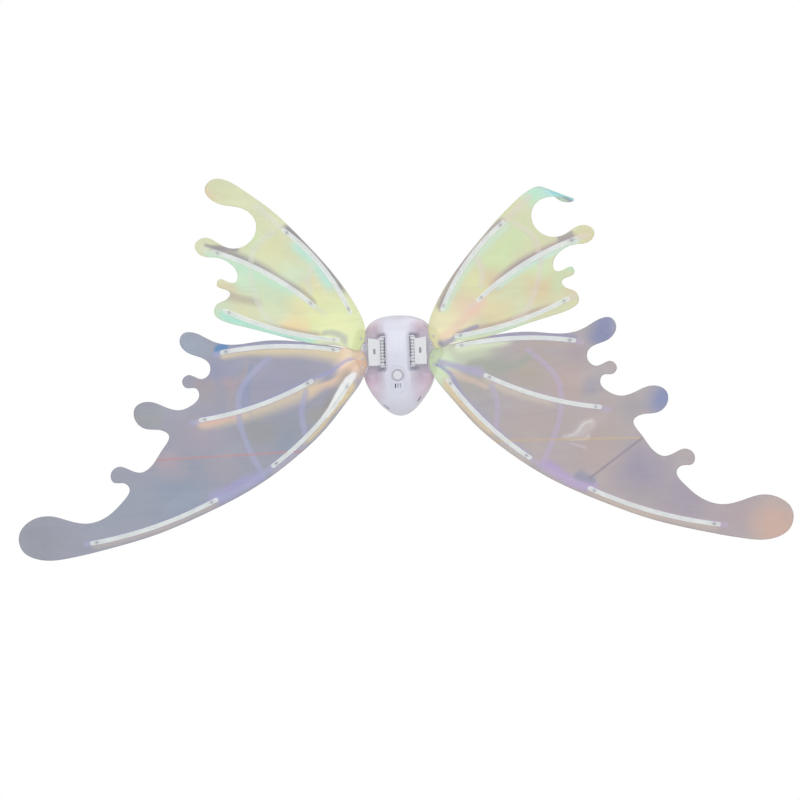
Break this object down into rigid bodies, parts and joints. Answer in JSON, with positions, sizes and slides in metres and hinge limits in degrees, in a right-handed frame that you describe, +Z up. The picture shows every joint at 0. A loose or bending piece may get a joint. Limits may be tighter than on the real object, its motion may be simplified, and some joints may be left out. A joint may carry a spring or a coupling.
{
  "type": "motorised costume fairy wings",
  "caption": "Battery-driven costume fairy wings: film wings with lit clear ribs plug into swing arms on an egg-shaped drive pod.",
  "frame": {"origin": "centre of the pod's flat back face, which lies against the wearer's back", "axes": "+Z up, -Y away from the wearer's back (the face that shows), +X to the viewer's right when seen from behind the wearer"},
  "size_m": [0.9396, 0.047, 0.457],
  "materials": {
    "pod_white": "moulded gloss",
    "button_white": "moulded gloss",
    "bezel_grey": "moulded gloss",
    "steel": "zinc plated",
    "inner_plastic": "moulded matt",
    "battery_jacket": "printed jacket",
    "contact_metal": "nickel plated",
    "gear_plastic": "natural acetal",
    "pinion_brass": "machined",
    "board_green": "solder mask",
    "component_black": "moulded matt",
    "arm_white": "moulded gloss",
    "clear_plastic": "clear moulded",
    "upper_film": "iridescent film",
    "lower_film": "iridescent film",
    "light_strip": "flexible strip with light chips"
  },
  "bodies": {
    "pod": {"front_shell": "pod_white", "back_shell": "pod_white", "shell_screws": "steel", "button_bezel": "bezel_grey", "hinge_pins": "steel", "battery_tray": "inner_plastic", "battery_cell_1": "battery_jacket", "battery_cell_2": "battery_jacket", "battery_cell_3": "battery_jacket", "battery_contacts": "contact_metal", "motor": "steel", "gearbox_lower_plate": "inner_plastic", "gearbox_upper_plate": "inner_plastic", "gearbox_screws": "steel", "gear_axles": "steel", "yoke_guide": "inner_plastic", "power_switch": "component_black", "circuit_board": "board_green", "board_components": "component_black", "speaker": "component_black"},
    "battery_door": {"battery_door": "pod_white", "battery_door_screw": "steel"},
    "power_button": {"power_button": "button_white"},
    "output_gear": {"output_gear": "gear_plastic"},
    "second_gear": {"second_gear": "gear_plastic"},
    "first_gear": {"first_gear": "gear_plastic"},
    "motor_shaft": {"motor_pinion": "pinion_brass"},
    "yoke": {"yoke": "inner_plastic"},
    "right_arm": {"right_swing_arm": "arm_white", "right_socket_contacts": "contact_metal"},
    "left_arm": {"left_swing_arm": "arm_white", "left_socket_contacts": "contact_metal"},
    "right_wing": {"right_wing_bracket": "clear_plastic", "right_plug_contacts": "contact_metal", "right_root_screws": "clear_plastic", "right_rib_eyelets": "clear_plastic", "right_upper_film": "upper_film", "right_lower_film": "lower_film", "right_lights": "light_strip", "right_upper_edge_rib": "clear_plastic", "right_upper_middle_rib": "clear_plastic", "right_upper_base_rib": "clear_plastic", "right_lower_top_rib": "clear_plastic", "right_lower_middle_rib": "clear_plastic", "right_lower_inner_rib": "clear_plastic", "right_lower_tail_rib": "clear_plastic"},
    "left_wing": {"left_wing_bracket": "clear_plastic", "left_plug_contacts": "contact_metal", "left_root_screws": "clear_plastic", "left_rib_eyelets": "clear_plastic", "left_upper_film": "upper_film", "left_lower_film": "lower_film", "left_lights": "light_strip", "left_upper_edge_rib": "clear_plastic", "left_upper_middle_rib": "clear_plastic", "left_upper_base_rib": "clear_plastic", "left_lower_top_rib": "clear_plastic", "left_lower_middle_rib": "clear_plastic", "left_lower_inner_rib": "clear_plastic", "left_lower_tail_rib": "clear_plastic"}
  },
  "joints": [
    {"name": "right_wing_flap", "type": "hinge", "parent": "pod", "child": "right_arm", "pos_m": [0.0185, -0.033, 0.017], "axis": [0, 0, 1], "range_deg": [-15, 15]},
    {"name": "left_wing_flap", "type": "hinge", "parent": "pod", "child": "left_arm", "pos_m": [-0.0185, -0.033, 0.017], "axis": [0, 0, 1], "range_deg": [-15, 15]},
    {"name": "yoke_slide", "type": "slide", "parent": "pod", "child": "yoke", "axis": [0, 1, 0], "range_m": [-0.0032, 0.0032]},
    {"name": "crank_spin", "type": "hinge", "parent": "pod", "child": "output_gear", "pos_m": [0, -0.033, 0.02], "axis": [0, 0, 1], "continuous": true},
    {"name": "second_gear_spin", "type": "hinge", "parent": "pod", "child": "second_gear", "pos_m": [0, -0.02252, 0.02], "axis": [0, 0, 1], "continuous": true},
    {"name": "first_gear_spin", "type": "hinge", "parent": "pod", "child": "first_gear", "pos_m": [-0.00504, -0.01379, 0.02], "axis": [0, 0, 1], "continuous": true},
    {"name": "motor_spin", "type": "hinge", "parent": "pod", "child": "motor_shaft", "pos_m": [0.00494, -0.01519, 0.02], "axis": [0, 0, 1], "continuous": true},
    {"name": "power_press", "type": "slide", "parent": "pod", "child": "power_button", "axis": [0, 1, 0], "range_m": [0, 0.0008], "stiffness_N_per_m": 400, "springref_m": -0.001},
    {"name": "battery_door_lift", "type": "slide", "parent": "pod", "child": "battery_door", "axis": [0, 1, 0], "range_m": [0, 0.03]},
    {"name": "right_wing_unplug", "type": "slide", "parent": "right_arm", "child": "right_wing", "axis": [1, 0, 0], "range_m": [0, 0.018]},
    {"name": "left_wing_unplug", "type": "slide", "parent": "left_arm", "child": "left_wing", "axis": [-1, 0, 0], "range_m": [0, 0.018]}
  ],
  "couplings": [
    {"joint": "left_wing_flap", "follows": "right_wing_flap", "ratio": -1},
    {"joint": "yoke_slide", "follows": "right_wing_flap", "m_per_rad": -0.012},
    {"joint": "second_gear_spin", "follows": "crank_spin", "ratio": -4.2},
    {"joint": "first_gear_spin", "follows": "crank_spin", "ratio": 16.8},
    {"joint": "motor_spin", "follows": "crank_spin", "ratio": -67.2}
  ]
}
